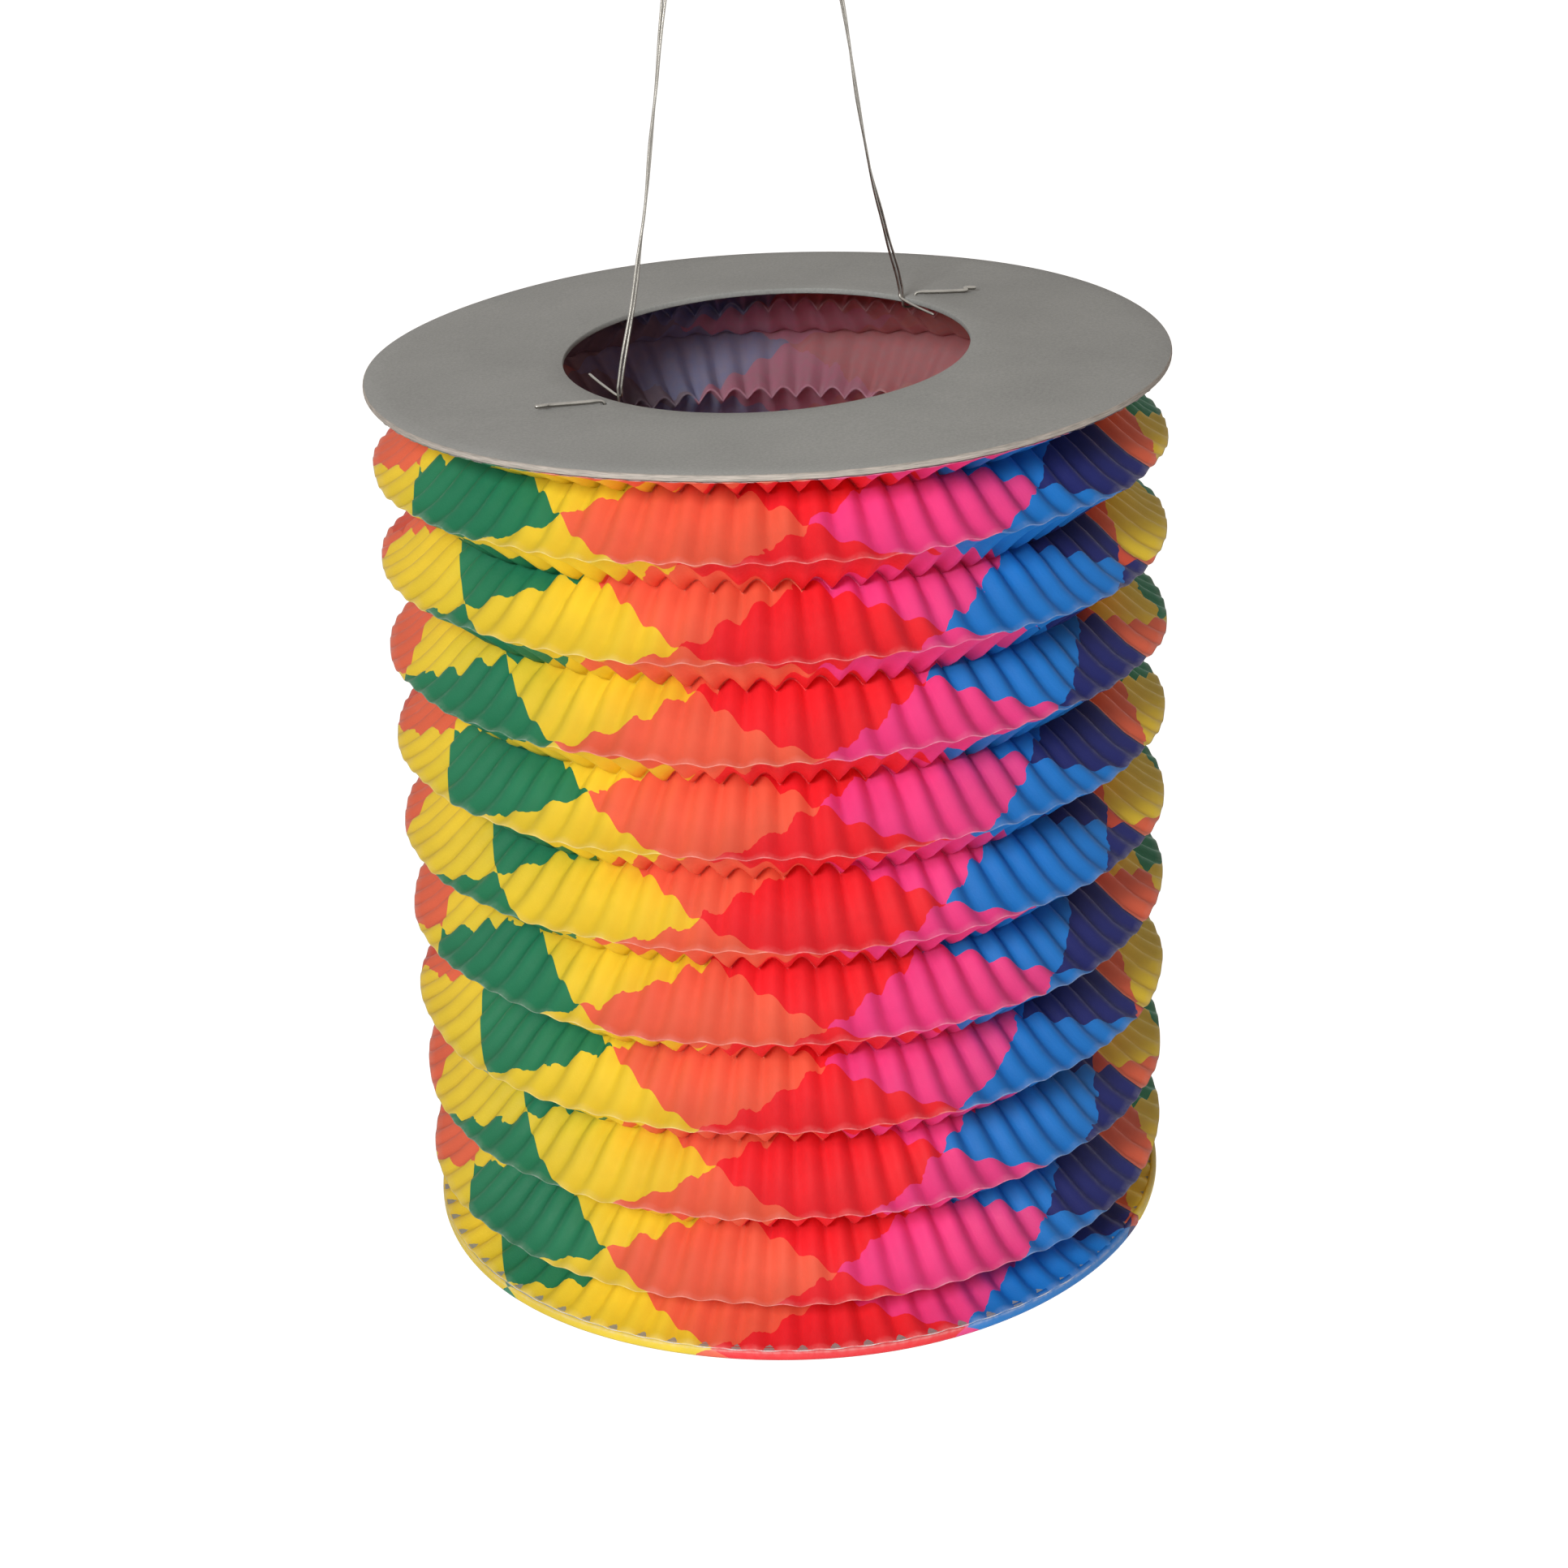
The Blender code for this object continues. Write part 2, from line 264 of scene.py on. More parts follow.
class Shading:
    """Short ways to add and join nodes in one material."""

    def __init__(self, name):
        self.material = bpy.data.materials.new(name)
        self.material.use_nodes = True
        self.tree = self.material.node_tree
        self.shader = self.tree.nodes["Principled BSDF"]

    def node(self, kind, **settings):
        made = self.tree.nodes.new("ShaderNode" + kind)
        for key, value in settings.items():
            setattr(made, key, value)
        return made

    def feed(self, socket, value):
        if isinstance(value, bpy.types.NodeSocket):
            self.tree.links.new(value, socket)
        else:
            socket.default_value = value

    def math(self, operation, first, second=0.0):
        made = self.node("Math", operation=operation)
        for socket, value in zip(made.inputs, (first, second)):
            self.feed(socket, value)
        return made.outputs[0]

    def attribute(self, name):
        return self.node("Attribute", attribute_name=name).outputs["Fac"]

    def place(self):
        return self.node("TexCoord").outputs["Object"]

    def noise(self, scale, detail=3.0, roughness=0.5, where=None):
        made = self.node("TexNoise")
        made.inputs["Scale"].default_value = scale
        made.inputs["Detail"].default_value = detail
        made.inputs["Roughness"].default_value = roughness
        self.feed(made.inputs["Vector"], where or self.place())
        return made.outputs["Fac"]

    def spread(self, value, low, high, low_out, high_out):
        """The value's range from low to high, stretched to low_out to high_out."""
        made = self.node("MapRange")
        for socket, given in zip(made.inputs, (value, low, high, low_out, high_out)):
            self.feed(socket, given)
        return made.outputs[0]

    def mix(self, share, first, second, blend="MIX"):
        made = self.node("Mix", data_type="RGBA", blend_type=blend)
        self.feed(made.inputs["Factor"], share)
        for socket, value in ((made.inputs[6], first), (made.inputs[7], second)):
            if isinstance(value, tuple):
                value = (*value, 1.0)
            self.feed(socket, value)
        return made.outputs[2]

    def node_grey(self, value):
        made = self.node("CombineColor")
        for socket in made.inputs[:3]:
            self.feed(socket, value)
        return made.outputs[0]

    def bump(self, height, distance, strength=1.0):
        made = self.node("Bump")
        made.inputs["Strength"].default_value = strength
        made.inputs["Distance"].default_value = distance
        self.feed(made.inputs["Height"], height)
        self.feed(self.shader.inputs["Normal"], made.outputs[0])

    def finish(self, colour, roughness, metallic=0.0, specular=0.5):
        self.feed(self.shader.inputs["Base Color"], colour)
        self.feed(self.shader.inputs["Roughness"], roughness)
        self.shader.inputs["Metallic"].default_value = metallic
        self.shader.inputs["Specular IOR Level"].default_value = specular
        return self.material


def harlequin(shading):
    """The print's colour: a lattice of diamonds whose columns each have one colour."""
    wobble = shading.spread(shading.noise(260.0, 2.0), 0.3, 0.7, -0.035, 0.035)
    across = shading.math("ADD", shading.attribute("print_across"), wobble)
    along = shading.math("ADD", shading.attribute("print_along"), wobble)
    rising = shading.math("ROUND", shading.math("MULTIPLY", shading.math("ADD", across, along), 0.5))
    falling = shading.math("ROUND",
                           shading.math("MULTIPLY", shading.math("SUBTRACT", across, along), 0.5))
    column = shading.math("ADD", rising, falling)
    count = len(COLUMN_COLOURS)
    share = shading.math("DIVIDE", shading.math("FLOORED_MODULO", column, float(count)), float(count))
    middle = shading.math("ADD", share, 0.5 / count)
    ramp = shading.node("ValToRGB")
    ramp.color_ramp.interpolation = "CONSTANT"
    stops = ramp.color_ramp.elements
    while len(stops) < count:
        stops.new(1.0)
    for index, colour in enumerate(COLUMN_COLOURS):
        stops[index].position = index / count
        stops[index].color = (*linear(colour), 1.0)
    shading.feed(ramp.inputs[0], middle)
    return ramp.outputs[0]


def printed_paper():
    """Thin glossy-printed paper: ink a little uneven, with a painted pale highlight along the folded
    ridges and valleys, broken up by noise.
    """
    shading = Shading("printed_paper")
    ink = harlequin(shading)
    mottle = shading.spread(shading.noise(90.0, 4.0), 0.3, 0.7, 0.92, 1.06)
    ink = shading.mix(1.0, ink, shading.node_grey(mottle), "MULTIPLY")
    # Painted highlight along the folds: a pale colour mixed over the ink where the sheet's fold
    # attribute is high.
    highlight_breakup = shading.spread(shading.noise(700.0, 2.0), 0.35, 0.65, 0.35, 1.0)
    fold_highlight = shading.math("MULTIPLY", shading.attribute("crease_highlight"), highlight_breakup)
    colour = shading.mix(shading.math("MULTIPLY", fold_highlight, FOLD_HIGHLIGHT_STRENGTH), ink, FOLD_HIGHLIGHT_COLOUR)
    shading.bump(shading.noise(2400.0, 2.0), 0.00004, 0.6)
    roughness = shading.spread(shading.noise(900.0, 2.0), 0.3, 0.7, 0.48, 0.62)
    return shading.finish(colour, roughness, specular=0.25)


def unprinted_paper():
    """The sleeve's inside: paper with painted shade and the print's colours mixed in as painted light
    showing through, and some daylight showing through by subsurface scattering.
    """
    shading = Shading("unprinted_paper")
    ink = harlequin(shading)
    # Painted light through the print: a noisy share of the print's colour mixed into the darkened inside
    # colour.
    show_through_share = shading.spread(shading.noise(500.0, 3.0), 0.3, 0.7, 0.20, 0.30)
    colour = shading.mix(show_through_share, INSIDE_SHADE_AND_SHOW_THROUGH, ink)
    shading.shader.inputs["Subsurface Weight"].default_value = 1.0
    shading.shader.inputs["Subsurface Radius"].default_value = (1.0, 0.8, 0.8)
    shading.shader.inputs["Subsurface Scale"].default_value = 6 * PAPER
    shading.bump(shading.noise(2000.0, 2.0), 0.00004, 0.6)
    return shading.finish(colour, 0.72, specular=0.25)


def cut_paper():
    """The paper's white cut edge."""
    shading = Shading("cut_paper")
    shade = shading.spread(shading.noise(3000.0, 2.0), 0.3, 0.7, 0.62, 0.86)
    return shading.finish(shading.node_grey(shade), 0.85, specular=0.2)


def grey_board():
    """Recycled grey board: fine speckle, faint long fibres and a soft mottle."""
    shading = Shading("grey_board_face")
    mottle = shading.spread(shading.noise(45.0, 3.0), 0.3, 0.7, 0.35, 0.40)
    speckle = shading.spread(shading.noise(1900.0, 4.0, 0.65), 0.3, 0.7, 0.86, 1.12)
    shade = shading.math("MULTIPLY", mottle, speckle)
    tint = shading.mix(1.0, shading.node_grey(shade), BOARD_TINT, "MULTIPLY")
    shading.bump(shading.noise(1400.0, 4.0, 0.6), 0.00006, 0.8)
    return shading.finish(tint, 0.78, specular=0.3)


def board_edge():
    """The board's cut edge: pale, in fine layers."""
    shading = Shading("grey_board_edge")
    stretch = shading.node("Mapping")
    stretch.inputs["Scale"].default_value = (260.0, 260.0, 5200.0)
    shading.feed(stretch.inputs["Vector"], shading.place())
    layers = shading.noise(1.0, 3.0, 0.6, stretch.outputs[0])
    colour = shading.mix(shading.spread(layers, 0.3, 0.7, 0.0, 1.0), EDGE_DARK, EDGE_PALE)
    shading.bump(layers, 0.00008, 0.8)
    return shading.finish(colour, 0.85, specular=0.2)


def bright_metal(name, tone, rough_low, rough_high, scale):
    """Bare thin metal with fine drawn or rolled scratches and slight tarnish."""
    shading = Shading(name)
    tarnish = shading.spread(shading.noise(scale, 3.0), 0.3, 0.7, 0.0, 1.0)
    darker = tuple(channel * 0.72 for channel in tone)
    colour = shading.mix(tarnish, tone, darker)
    roughness = shading.spread(shading.noise(scale * 4, 2.0), 0.3, 0.7, rough_low, rough_high)
    shading.bump(shading.noise(scale * 9, 2.0), 0.00003, 0.4)
    return shading.finish(colour, roughness, metallic=1.0)


# ---------------------------------------------------------------- meshes

def add_mesh(name, points, faces, materials, attributes=None, face_materials=None):
    mesh = bpy.data.meshes.new(name)
    mesh.from_pydata(points, [], faces)
    for material in materials:
        mesh.materials.append(material)
    if face_materials is not None:
        mesh.polygons.foreach_set("material_index", face_materials)
    for key, values in (attributes or {}).items():
        made = mesh.attributes.new(key, "FLOAT", "POINT")
        made.data.foreach_set("value", np.asarray(values, np.float32))
    mesh.shade_smooth()
    mesh.update()
    item = bpy.data.objects.new(name, mesh)
    bpy.context.scene.collection.objects.link(item)
    return item


def grid_faces(rows, columns, closed=False):
    """Quads of a grid of points listed row by row; closed joins the last column to the first."""
    faces = []
    last = columns if closed else columns - 1
    for row in range(rows - 1):
        for column in range(last):
            after = (column + 1) % columns
            here = row * columns
            below = here + columns
            faces.append((here + column, below + column, below + after, here + after))
    return faces


# ---------------------------------------------------------------- paper sleeve

def pleat_folds():
    """The folds from the ring down: (radius, level, paper length from the ring, is a ridge)."""
    shares = [1.0] * PLEAT_COUNT
    shares[0] = FIRST_PLEAT_SHARE
    shares[-1] = LAST_PLEAT_SHARE
    pitch = SLEEVE_HEIGHT / sum(shares)
    folds = [(RIDGE_RADIUS, SLEEVE_TOP, 0.0, True)]
    for share in shares:
        half = pitch * share / 2
        slant = math.hypot(RIDGE_RADIUS - VALLEY_RADIUS, half)
        for radius in (VALLEY_RADIUS, RIDGE_RADIUS):
            _, level, length, _ = folds[-1]
            folds.append((radius, level - half, length + slant, radius == RIDGE_RADIUS))
    folds[-1] = (FOOT_RADIUS, *folds[-1][1:])
    radius, _, length, ridge = folds[1]
    folds[1] = (radius, SLEEVE_TOP - (SLEEVE_TOP - folds[2][1]) * FIRST_VALLEY_SHARE, length, ridge)
    return folds


def sleeve_rows():
    """The sleeve's profile, as rows of (radius, level, paper length, crease highlight, place among the
    folds). The crease highlight is the strength of a painted highlight along the folds: 1 on a
    ridge, falling to 0 close by."""
    rows = [(RIDGE_RADIUS - TOP_MARGIN, SLEEVE_TOP, -TOP_MARGIN, 0.0, 0.0),
            (RIDGE_RADIUS - CREASE_WIDTH, SLEEVE_TOP, -CREASE_WIDTH, 0.0, 0.0)]
    folds = pleat_folds()
    from_ridge = list(HALF_PLEAT_STEPS)
    from_valley = [0.0] + [1 - t for t in reversed(from_ridge[1:])]
    for index, (start, end) in enumerate(zip(folds, folds[1:])):
        ridge = start[3]
        for t in from_ridge if ridge else from_valley:
            radius = start[0] + (end[0] - start[0]) * t
            if t == 0.0:
                radius += -RIDGE_ROUNDING if ridge else VALLEY_ROUNDING
            fall = t - PINCH * math.sin(math.tau * t) / math.tau
            level = start[1] + (end[1] - start[1]) * fall
            length = start[2] + (end[2] - start[2]) * t
            away = abs(length - (start[2] if ridge else end[2]))
            # Strength of the painted highlight along the fold, fading out over CREASE_WIDTH.
            crease_highlight = max(0.0, 1 - away / CREASE_WIDTH)
            if t == 0.0 and not ridge:
                crease_highlight = VALLEY_HIGHLIGHT
            rows.append((radius, level, length, crease_highlight, index + t))
    radius, level, length, _ = folds[-1]
    rows.append((radius - RIDGE_ROUNDING, level, length, 1.0, float(len(folds) - 1)))
    return rows


def foot_rows():
    """The strip of paper that laps the last pleat's edge and turns down over the base disc's."""
    length = pleat_folds()[-1][2]
    drop = BASE_TOP - BASE_BOTTOM
    # Each point: inset from the edge, share of the drop, and strength of the painted highlight where the
    # paper turns over the edge.
    outline = ((0.00120, -0.27, 0.0), (0.00060, -0.20, 0.1), (0.00022, -0.11, 0.5), (0.00003, 0.02, 0.8),
               (0.0, 0.20, 0.2), (0.0, 0.75, 0.0), (0.00012, 1.0, 0.3))
    return [(FOOT_RADIUS - inset, BASE_TOP - drop * share, length + drop * share - inset, crease_highlight, 0.0)
            for inset, share, crease_highlight in outline]


def ruffle(phase, radius, loose):
    """Rise and fall of the fluted paper: next to none at a ridge, where the paper is taut, growing
    to round-topped flutes with sharp troughs at a valley. None where the paper is glued."""
    slack = np.maximum(0.0, (RIDGE_RADIUS / radius - 1) / (RIDGE_RADIUS / VALLEY_RADIUS - 1))
    sharp = RIDGE_SHARPNESS + (1 - RIDGE_SHARPNESS) * slack ** 2
    slack = (slack + RIDGE_RUFFLE * (1 - slack)) * np.minimum(1.0, 4 * loose)
    scallop = 2 * np.abs(np.cos(phase / 2)) - 1
    return FLUTE_DEPTH * slack ** FLUTE_FADE * (np.cos(phase) * (1 - sharp) + scallop * sharp)


def make_habits():
    """The sleeve's small irregularities: each flute's own strength and lean, and each fold's
    slow waves in radius and level."""
    rng = np.random.default_rng(HABIT_SEED)
    folds = 2 * PLEAT_COUNT + 1
    strength = rng.uniform(*FOLD_STRENGTH, (folds, FLUTE_COUNT))
    strength = 0.5 * strength + 0.5 * rng.uniform(*FLUTE_STRENGTH, FLUTE_COUNT)
    lean = rng.uniform(-FLUTE_LEAN, FLUTE_LEAN, FLUTE_COUNT)
    waves = rng.uniform(0.0, math.tau, (2, folds, len(WAVE_COUNTS)))
    return strength, lean, waves


def wave_sum(turn, phases):
    """A slow wave round the lantern, -1 to 1, for each row's own phases."""
    total = 0.0
    for index, count in enumerate(WAVE_COUNTS):
        total = total + np.sin(count * turn[None, :] + phases[:, index, None])
    return total / len(WAVE_COUNTS)


def along_folds(table, places):
    """Values listed by fold, blended to each row's place between two folds."""
    low = np.clip(np.floor(places).astype(int), 0, len(table) - 2)
    share = (places - low).reshape(-1, *[1] * (table.ndim - 1))
    return table[low] * (1 - share) + table[low + 1] * share


def sheet_grid(rows, first, last, under_last, habits):
    """The points of one sheet between two columns. Its first columns lie under the other
    sheet, as far as column under_last."""
    strength, lean, waves = habits
    radius, level, _, crease_highlight, place = (np.array(values) for values in zip(*rows))
    columns = np.arange(first, last + 1)
    flutes = columns / FLUTE_COLUMNS
    numbers = np.arange(FLUTE_COUNT)
    turn = np.radians(SEAM_TURN + columns * COLUMN_TURN)
    phase = math.tau * flutes + np.interp(flutes, numbers, lean, period=FLUTE_COUNT)
    by_row = along_folds(strength, place)
    force = np.array([np.interp(flutes, numbers, row, period=FLUTE_COUNT) for row in by_row])
    loose = np.clip(place, 0.0, 1.0) * np.clip(2 * PLEAT_COUNT - place, 0.0, 1.0)
    sway = wave_sum(turn, along_folds(waves[0], place)) * loose[:, None]
    bob = wave_sum(turn, along_folds(waves[1], place)) * loose[:, None]
    tuck = np.clip((under_last + GLUE_STEP - columns) / GLUE_STEP, 0.0, 1.0) * GLUE_INSET
    out = radius[:, None] + RADIUS_WAVE * sway - tuck[None, :]
    flutes_rise = ruffle(phase[None, :], radius[:, None], loose[:, None]) * force
    hang = np.clip(1 - place / HANG_FOLDS, 0.0, 1.0)[:, None] * rim_lift(turn)[None, :]
    high = level[:, None] + flutes_rise + LEVEL_WAVE * bob + hang
    grid = np.stack([out * np.cos(turn), out * np.sin(turn), high], axis=-1)
    return grid.reshape(-1, 3), columns


def make_sheet(name, rows, first, last, print_turn, materials, habits, rim=2):
    """One printed sheet, or its strip over the base's edge."""
    points, columns = sheet_grid(rows, first - GLUE_COLUMNS, last, first, habits)
    length = np.array([row[2] for row in rows])
    crease_highlight = np.array([row[3] for row in rows])
    turn = SEAM_TURN + columns * COLUMN_TURN
    across = np.tile((turn - print_turn) / (DIAMOND_TURN / 2), len(rows))
    along = np.repeat((length - DIAMOND_START) / (DIAMOND_HEIGHT / 2), len(columns))
    attributes = {
        "print_across": across,
        "print_along": along,
        # Strength of the painted highlight along the folds, for the paper's colour.
        "crease_highlight": np.repeat(crease_highlight, len(columns)),
    }
    faces = grid_faces(len(rows), len(columns))
    sheet = add_mesh(name, points.tolist(), faces, materials, attributes)
    thickness = sheet.modifiers.new("paper", "SOLIDIFY")
    thickness.thickness = PAPER
    thickness.offset = -1.0
    thickness.material_offset = 1
    thickness.material_offset_rim = rim
    return sheet


def make_sleeve():
    materials = [printed_paper(), unprinted_paper(), cut_paper()]
    habits = make_habits()
    half = FLUTE_COUNT * FLUTE_COLUMNS // 2
    sides = (("one", -half, 0, SHEET_ONE_TURN), ("two", 0, half, SHEET_TWO_TURN))
    for word, first, last, print_turn in sides:
        sheet = make_sheet(f"paper_sheet_{word}", sleeve_rows(), first, last, print_turn,
                           materials, habits)
        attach(sheet, "ring")
        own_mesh(sheet)
        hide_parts("paper_bellows")
        foot = make_sheet(f"paper_foot_{word}", foot_rows(), first, last, print_turn,
                          materials, habits, rim=0)
        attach(foot, "base")


# ---------------------------------------------------------------- boards

def rim_lift(turn):
    """How far the ring's outer edge lies above or below level as the lantern hangs."""
    wave = sum(share * np.sin(count * turn + phase) for count, phase, share in WARP_WAVES)
    return RIM_TILT * np.cos(turn - math.radians(RIM_TILT_TURN)) + RING_WARP * wave


def ring_warp(radius, turn):
    """The ring's lift at a place on it: its outer edge tilts, and its hole's edge is pulled up
    and tilts further."""
    reach = min(1.0, max(0.0, (radius - HOLE_RADIUS) / (RING_RADIUS - HOLE_RADIUS)))
    pull = HOLE_LIFT + HOLE_TILT * math.cos(turn - math.radians(HOLE_TILT_TURN))
    return float(rim_lift(turn)) * reach + pull * (1 - reach) ** PULL_FADE


def board_outline(inner, outer, low, high):
    """Round a board's section, with its corners a little crushed: (radius, level, is edge)."""
    width = outer - inner - 2 * CORNER
    across = [inner + CORNER + width * step / BOARD_STEPS for step in range(BOARD_STEPS + 1)]
    middle = (low + high) / 2
    outline = [(radius, high, False) for radius in across]
    outline += [(outer - CORNER * 0.3, high - CORNER * 0.4, True), (outer, high - CORNER, True),
                (outer + EDGE_SWELL, middle, True), (outer, low + CORNER, True),
                (outer - CORNER * 0.3, low + CORNER * 0.4, True)]
    outline += [(radius, low, False) for radius in reversed(across)]
    outline += [(inner + CORNER * 0.3, low + CORNER * 0.4, True), (inner, low + CORNER, True),
                (inner, middle, True), (inner, high - CORNER, True),
                (inner + CORNER * 0.3, high - CORNER * 0.4, True)]
    return outline


def make_ring(materials):
    outline = board_outline(HOLE_RADIUS, RING_RADIUS, RING_BOTTOM, RING_TOP)
    points, faces, kinds = [], [], []
    for step in range(ROUND_STEPS):
        turn = math.tau * step / ROUND_STEPS
        for radius, level, _ in outline:
            lift = ring_warp(radius, turn)
            points.append((radius * math.cos(turn), radius * math.sin(turn), level + lift))
    count = len(outline)
    for step in range(ROUND_STEPS):
        here = step * count
        there = (step + 1) % ROUND_STEPS * count
        for index in range(count):
            after = (index + 1) % count
            faces.append((here + index, here + after, there + after, there + index))
            cut = outline[index][2] or outline[after][2]
            outside = outline[index][0] > (RING_RADIUS + HOLE_RADIUS) / 2
            kinds.append(int(cut and outside))
    ring = add_mesh("ring_card", points, faces, materials, face_materials=kinds)
    ring.data.flip_normals()
    for side in (-1, 1):
        drill(ring, side * PINHOLE_X, PINHOLE_RADIUS, RING_BOTTOM, RING_TOP)
    ring.data.set_sharp_from_angle(angle=math.radians(50))
    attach(ring, "ring")
    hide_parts("top_ring")


def drill(item, x, radius, low, high):
    """Cuts a round hole through item at x on the hinge line, and applies the cut."""
    mesh = bpy.data.meshes.new("drill")
    bm = bmesh.new()
    bmesh.ops.create_cone(bm, cap_ends=True, segments=PINHOLE_SIDES, radius1=radius, radius2=radius,
                          depth=(high - low) * 3)
    bm.to_mesh(mesh)
    bm.free()
    cutter = bpy.data.objects.new("drill", mesh)
    bpy.context.scene.collection.objects.link(cutter)
    cutter.location = (x, 0.0, (low + high) / 2)
    cut = item.modifiers.new("cut", "BOOLEAN")
    cut.operation = "DIFFERENCE"
    cut.object = cutter
    bpy.context.view_layer.update()
    shown = item.evaluated_get(bpy.context.evaluated_depsgraph_get())
    item.data = bpy.data.meshes.new_from_object(shown)
    item.modifiers.clear()
    bpy.data.objects.remove(cutter)


def paint_node(name, material):
    """Gives a CAD node that is kept as it is a finished material."""
    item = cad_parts[name]
    item.data.materials.clear()
    item.data.materials.append(material)


# ---------------------------------------------------------------- wires

def smooth_curve(points, per_span):
    """Points along a smooth curve through the given ones (Catmull-Rom)."""
    points = [Vector(point) for point in points]
    padded = [2 * points[0] - points[1], *points, 2 * points[-1] - points[-2]]
    curve = []
    for index in range(1, len(padded) - 2):
        before, start, end, after = padded[index - 1:index + 3]
        for step in range(per_span):
            t = step / per_span
            curve.append(0.5 * (2 * start + (end - before) * t
                                + (2 * before - 5 * start + 4 * end - after) * t ** 2
                                + (3 * start - 3 * end + after - before) * t ** 3))
    curve.append(points[-1])
    return curve


def bail_middle():
    """The middle line between the two strands, from the right foot over to the left."""
    leg = [Vector((x, 0.0, RING_TOP + rise)) for x, rise in BAIL_LEG]
    top = Vector((0.0, 0.0, WIRE_RADIUS + STRAND_SPACING / 2))
    mirrored = [Vector((-point.x, 0.0, point.z)) for point in reversed(leg)]
    return smooth_curve([*leg, top, *mirrored], BAIL_STEPS)


def wander(share, rates, phases):
    """Two small waves along a wire."""
    slow, fast = (math.sin(rate * share + phase) for rate, phase in zip(rates, phases))
    return slow + SMALL_KINK * fast


def bail_strand(side, seed):
    """One strand of the bail. The two wander about each other and touch here and there, with
    the small kinks of wire that was straightened by hand; both are apart at the feet."""
    rng = np.random.default_rng(seed)
    phases = rng.uniform(0.0, math.tau, 4)
    closed, swing, rate = CLOSENESS
    middle = bail_middle()
    last = len(middle) - 1
    strand = []
    for index, point in enumerate(middle):
        share = index / last
        along = (middle[min(index + 1, last)] - middle[max(index - 1, 0)]).normalized()
        outward = Vector((along.z, 0.0, -along.x))
        free = min(1.0, FREE_RATE * min(share, 1 - share))
        twist = math.tau * STRAND_TURNS * (share - math.sin(math.tau * share) / math.tau)
        close = closed + swing * math.cos(rate * share)
        apart = STRAND_SPACING / 2 * (1 - close * free)
        offset = (outward * math.cos(twist) + Vector((0, 1, 0)) * math.sin(twist)) * apart
        kink = KINK * free * wander(share, KINK_RATES, phases[:2])
        drift = KINK * free * wander(share, DRIFT_RATES, phases[2:])
        strand.append(point + offset * side + outward * kink + Vector((0, drift, 0)))
    return strand


def card_end():
    """The outer strand's end: down past the hole's edge, under the ring, up through the pinhole
    and out along the card. Outward distance, sideways distance, height above the ring's top."""
    return (
        (OUTER_FOOT_X, 0.0, 0.0009),
        (OUTER_FOOT_X, 0.0, -BOARD_THICKNESS),
        (OUTER_FOOT_X + 0.0004, 0.0, -BOARD_THICKNESS - 0.0007),
        (OUTER_FOOT_X + 0.0018, 0.0, -BOARD_THICKNESS - 0.0010),
        (PINHOLE_X - 0.0004, 0.0, -BOARD_THICKNESS - 0.0007),
        (PINHOLE_X, 0.0, -BOARD_THICKNESS),
        (PINHOLE_X, 0.0, 0.0),
        (PINHOLE_X + 0.0006, 0.0004, 0.00060),
        (PINHOLE_X + 0.0030, 0.0019, 0.00062),
        (PINHOLE_X + 0.0064, 0.0042, 0.00064),
        (PINHOLE_X + 0.0092, 0.0059, 0.00072),
        (PINHOLE_X + 0.0099, 0.0052, 0.00100),
        (PINHOLE_X + 0.0118, 0.0064, 0.00095),
    )


def hole_end(side):
    """The inner strand's end, bent sideways inside the ring's hole: a little up on the left and
    down on the right."""
    return (
        (INNER_FOOT_X, 0.0, 0.0009),
        (INNER_FOOT_X - 0.0001, 0.0004, 0.00035),
        (INNER_FOOT_X - 0.0002, 0.0018, 0.00010 - 0.0002 * side),
        (INNER_FOOT_X - 0.0005, 0.0043, 0.00015 - 0.0007 * side),
        (INNER_FOOT_X - 0.0009, 0.0076, 0.00035 - 0.0013 * side),
        (INNER_FOOT_X - 0.0013, 0.0107, 0.00065 - 0.0019 * side),
    )


def placed_end(route, side):
    """A wire end on the left (side -1) or, turned half a turn, on the right (side 1)."""
    points = []
    for out, across, height in route:
        x, y = side * out, -side * across
        lift = ring_warp(math.hypot(x, y), math.atan2(y, x))
        points.append(Vector((x, y, RING_TOP + height + lift)))
    return points


def lifted(point):
    """A point of the bail, moved up with the ring's lift where it is close to the ring."""
    share = max(0.0, 1 - (point.z - RING_TOP) / LIFT_FADE)
    return point + Vector((0, 0, share * ring_warp(HOLE_RADIUS, math.atan2(point.y, point.x))))


def whole_wire(right_route, left_route, side, seed):
    """A wire from its end on the right, up and over, to its end on the left."""
    right = list(reversed(smooth_curve(placed_end(right_route, 1), END_STEPS)))
    left = smooth_curve(placed_end(left_route, -1), END_STEPS)
    strand = [lifted(point) for point in bail_strand(side, seed)]
    joins = [right[-1].lerp(strand[0], share) for share in JOIN_SHARES]
    leaves = [strand[-1].lerp(left[0], share) for share in JOIN_SHARES]
    return [*right, *joins, *strand, *leaves, *left]


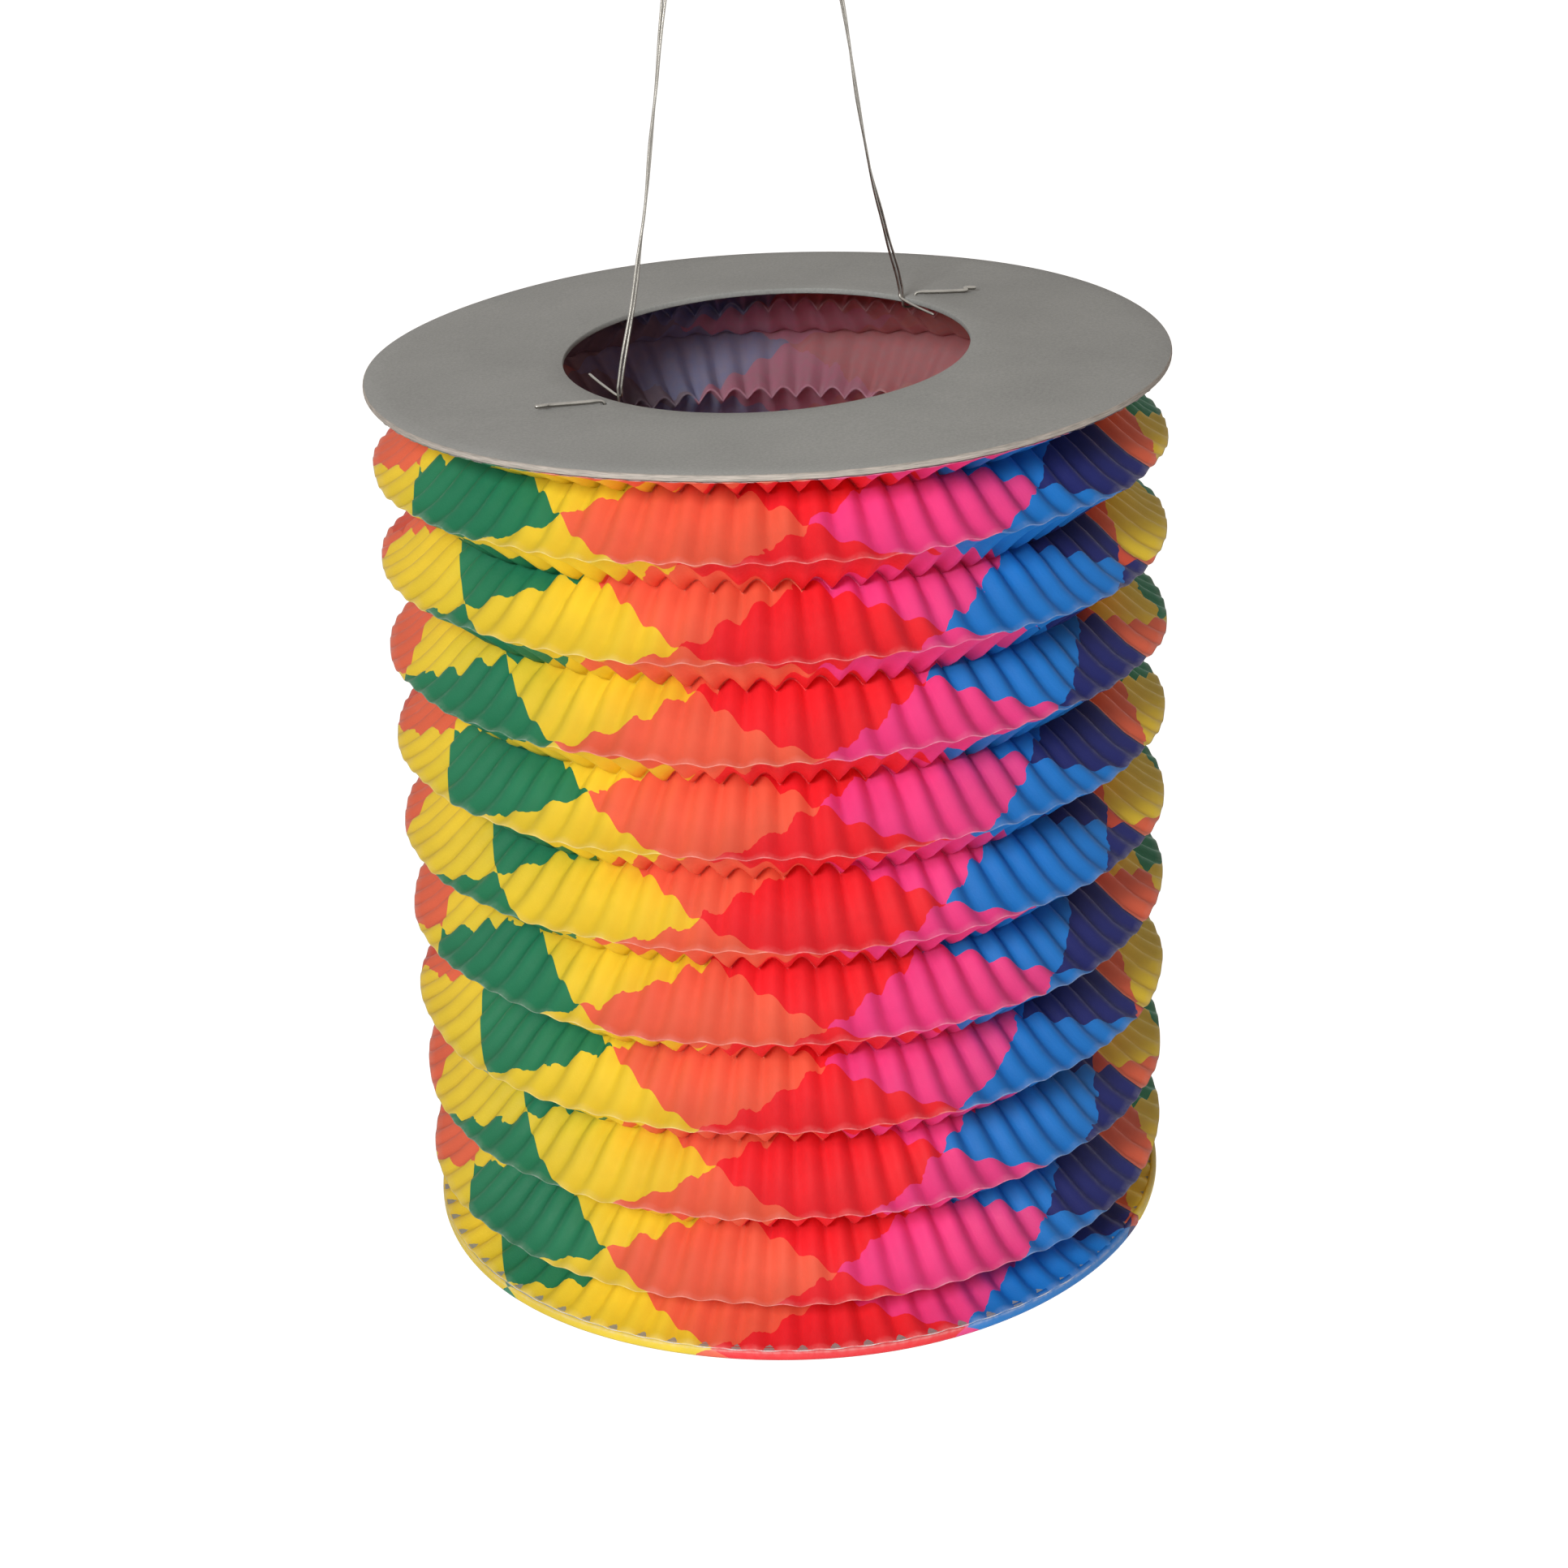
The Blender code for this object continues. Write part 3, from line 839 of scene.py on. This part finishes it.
def make_tube(name, path, material):
    """A round wire along path, a little swollen where its end was hammered along the card."""
    tangents = []
    for index in range(len(path)):
        ahead = path[min(index + 1, len(path) - 1)]
        behind = path[max(index - 1, 0)]
        tangents.append((ahead - behind).normalized())
    across = tangents[0].orthogonal().normalized()
    points = []
    for index, (centre, along) in enumerate(zip(path, tangents)):
        across = (across - along * across.dot(along)).normalized()
        over = along.cross(across)
        radius = WIRE_RADIUS * (SNIPPED if index in (0, len(path) - 1) else 1.0)
        past = (abs(centre.x) - TAIL_START) / TAIL_RAMP
        radius *= 1 + (TAIL_SWELL - 1) * min(1.0, max(0.0, past))
        for side in range(WIRE_SIDES):
            angle = math.tau * side / WIRE_SIDES
            points.append(centre + (across * math.cos(angle) + over * math.sin(angle)) * radius)
    faces = grid_faces(len(path), WIRE_SIDES, closed=True)
    faces.append(tuple(range(WIRE_SIDES)))
    faces.append(tuple(reversed(range(len(points) - WIRE_SIDES, len(points)))))
    tube = add_mesh(name, [tuple(point) for point in points], faces, [material])
    bm = bmesh.new()
    bm.from_mesh(tube.data)
    bmesh.ops.recalc_face_normals(bm, faces=bm.faces)
    bm.to_mesh(tube.data)
    bm.free()
    return tube


def make_wires(material):
    wires = (
        ("wire_outer", card_end(), card_end(), 1, OUTER_SEED,
         ("bail_wire_outer", "wire_end_card_left", "wire_end_card_right")),
        ("wire_inner", hole_end(1), hole_end(-1), -1, INNER_SEED,
         ("bail_wire_inner", "wire_end_hole_left", "wire_end_hole_right")),
    )
    for name, right_route, left_route, side, seed, nodes in wires:
        wire = make_tube(name, whole_wire(right_route, left_route, side, seed), material)
        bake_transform(wire)
        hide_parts(*nodes)


# ---------------------------------------------------------------- studio

def add_light(name, turn, height, reach, size, power):
    """A square soft light turned to the lantern's middle; turn in degrees round it."""
    data = bpy.data.lights.new(name, "AREA")
    data.shape = "SQUARE"
    data.size = size
    data.energy = power
    light = bpy.data.objects.new(name, data)
    bpy.context.scene.collection.objects.link(light)
    middle = Vector((0, 0, (RING_TOP + BASE_BOTTOM) / 2))
    angle = math.radians(turn)
    light.location = middle + Vector((math.cos(angle) * reach, math.sin(angle) * reach, height))
    light.rotation_mode = "QUATERNION"
    light.rotation_quaternion = (middle - light.location).to_track_quat("-Z", "Y")


def add_cove():
    """A white floor that curves up into the studio's walls and ceiling. It is seen and reflected,
    but sheds no soft light on the lantern."""
    flat = COVE_RADIUS - COVE_BEND
    profile = [(0.0, FLOOR_Z), (flat, FLOOR_Z)]
    for step in range(1, COVE_BEND_STEPS):
        angle = math.pi / 2 * step / COVE_BEND_STEPS
        rise = COVE_BEND - COVE_BEND * math.cos(angle)
        profile.append((flat + COVE_BEND * math.sin(angle), FLOOR_Z + rise))
    profile += [(COVE_RADIUS, FLOOR_Z + WALL_HEIGHT),
                (COVE_RADIUS * CEILING_SHARE, FLOOR_Z + CEILING_HEIGHT - CEILING_DROP),
                (0.0, FLOOR_Z + CEILING_HEIGHT)]
    turns = [math.tau * step / COVE_STEPS for step in range(COVE_STEPS)]
    points = [(radius * math.cos(turn), radius * math.sin(turn), level)
              for radius, level in profile for turn in turns]
    faces = grid_faces(len(profile), COVE_STEPS, closed=True)
    shading = Shading("studio_white")
    shading.shader.inputs["Emission Color"].default_value = (1.0, 1.0, 1.0, 1.0)
    shading.shader.inputs["Emission Strength"].default_value = 1.0
    material = shading.finish((0.8, 0.8, 0.8, 1.0), 0.9, specular=0.0)
    cove = add_mesh("studio_cove", points, faces, [material])
    cove.visible_diffuse = False
    cove.visible_shadow = False
    cove.visible_transmission = False


def add_studio():
    add_cove()
    world = bpy.data.worlds.new("studio")
    world.use_nodes = True
    background = world.node_tree.nodes["Background"]
    background.inputs["Color"].default_value = WORLD_TINT
    background.inputs["Strength"].default_value = WORLD_LIGHT
    bpy.context.scene.world = world
    for light in LIGHTS:
        add_light(*light)
    bpy.context.scene.view_settings.view_transform = "Standard"


def main():
    add_camera()
    board = grey_board()
    steel = bright_metal("steel_wire_bright", linear(STEEL), 0.26, 0.42, 300.0)
    tin = bright_metal("tinplate_bright", linear(TIN), 0.24, 0.42, 160.0)
    make_sleeve()
    make_ring([board, board_edge()])
    make_wires(steel)
    paint_node("base_disc", board)
    paint_node("candle_holder", tin)
    add_studio()


main()
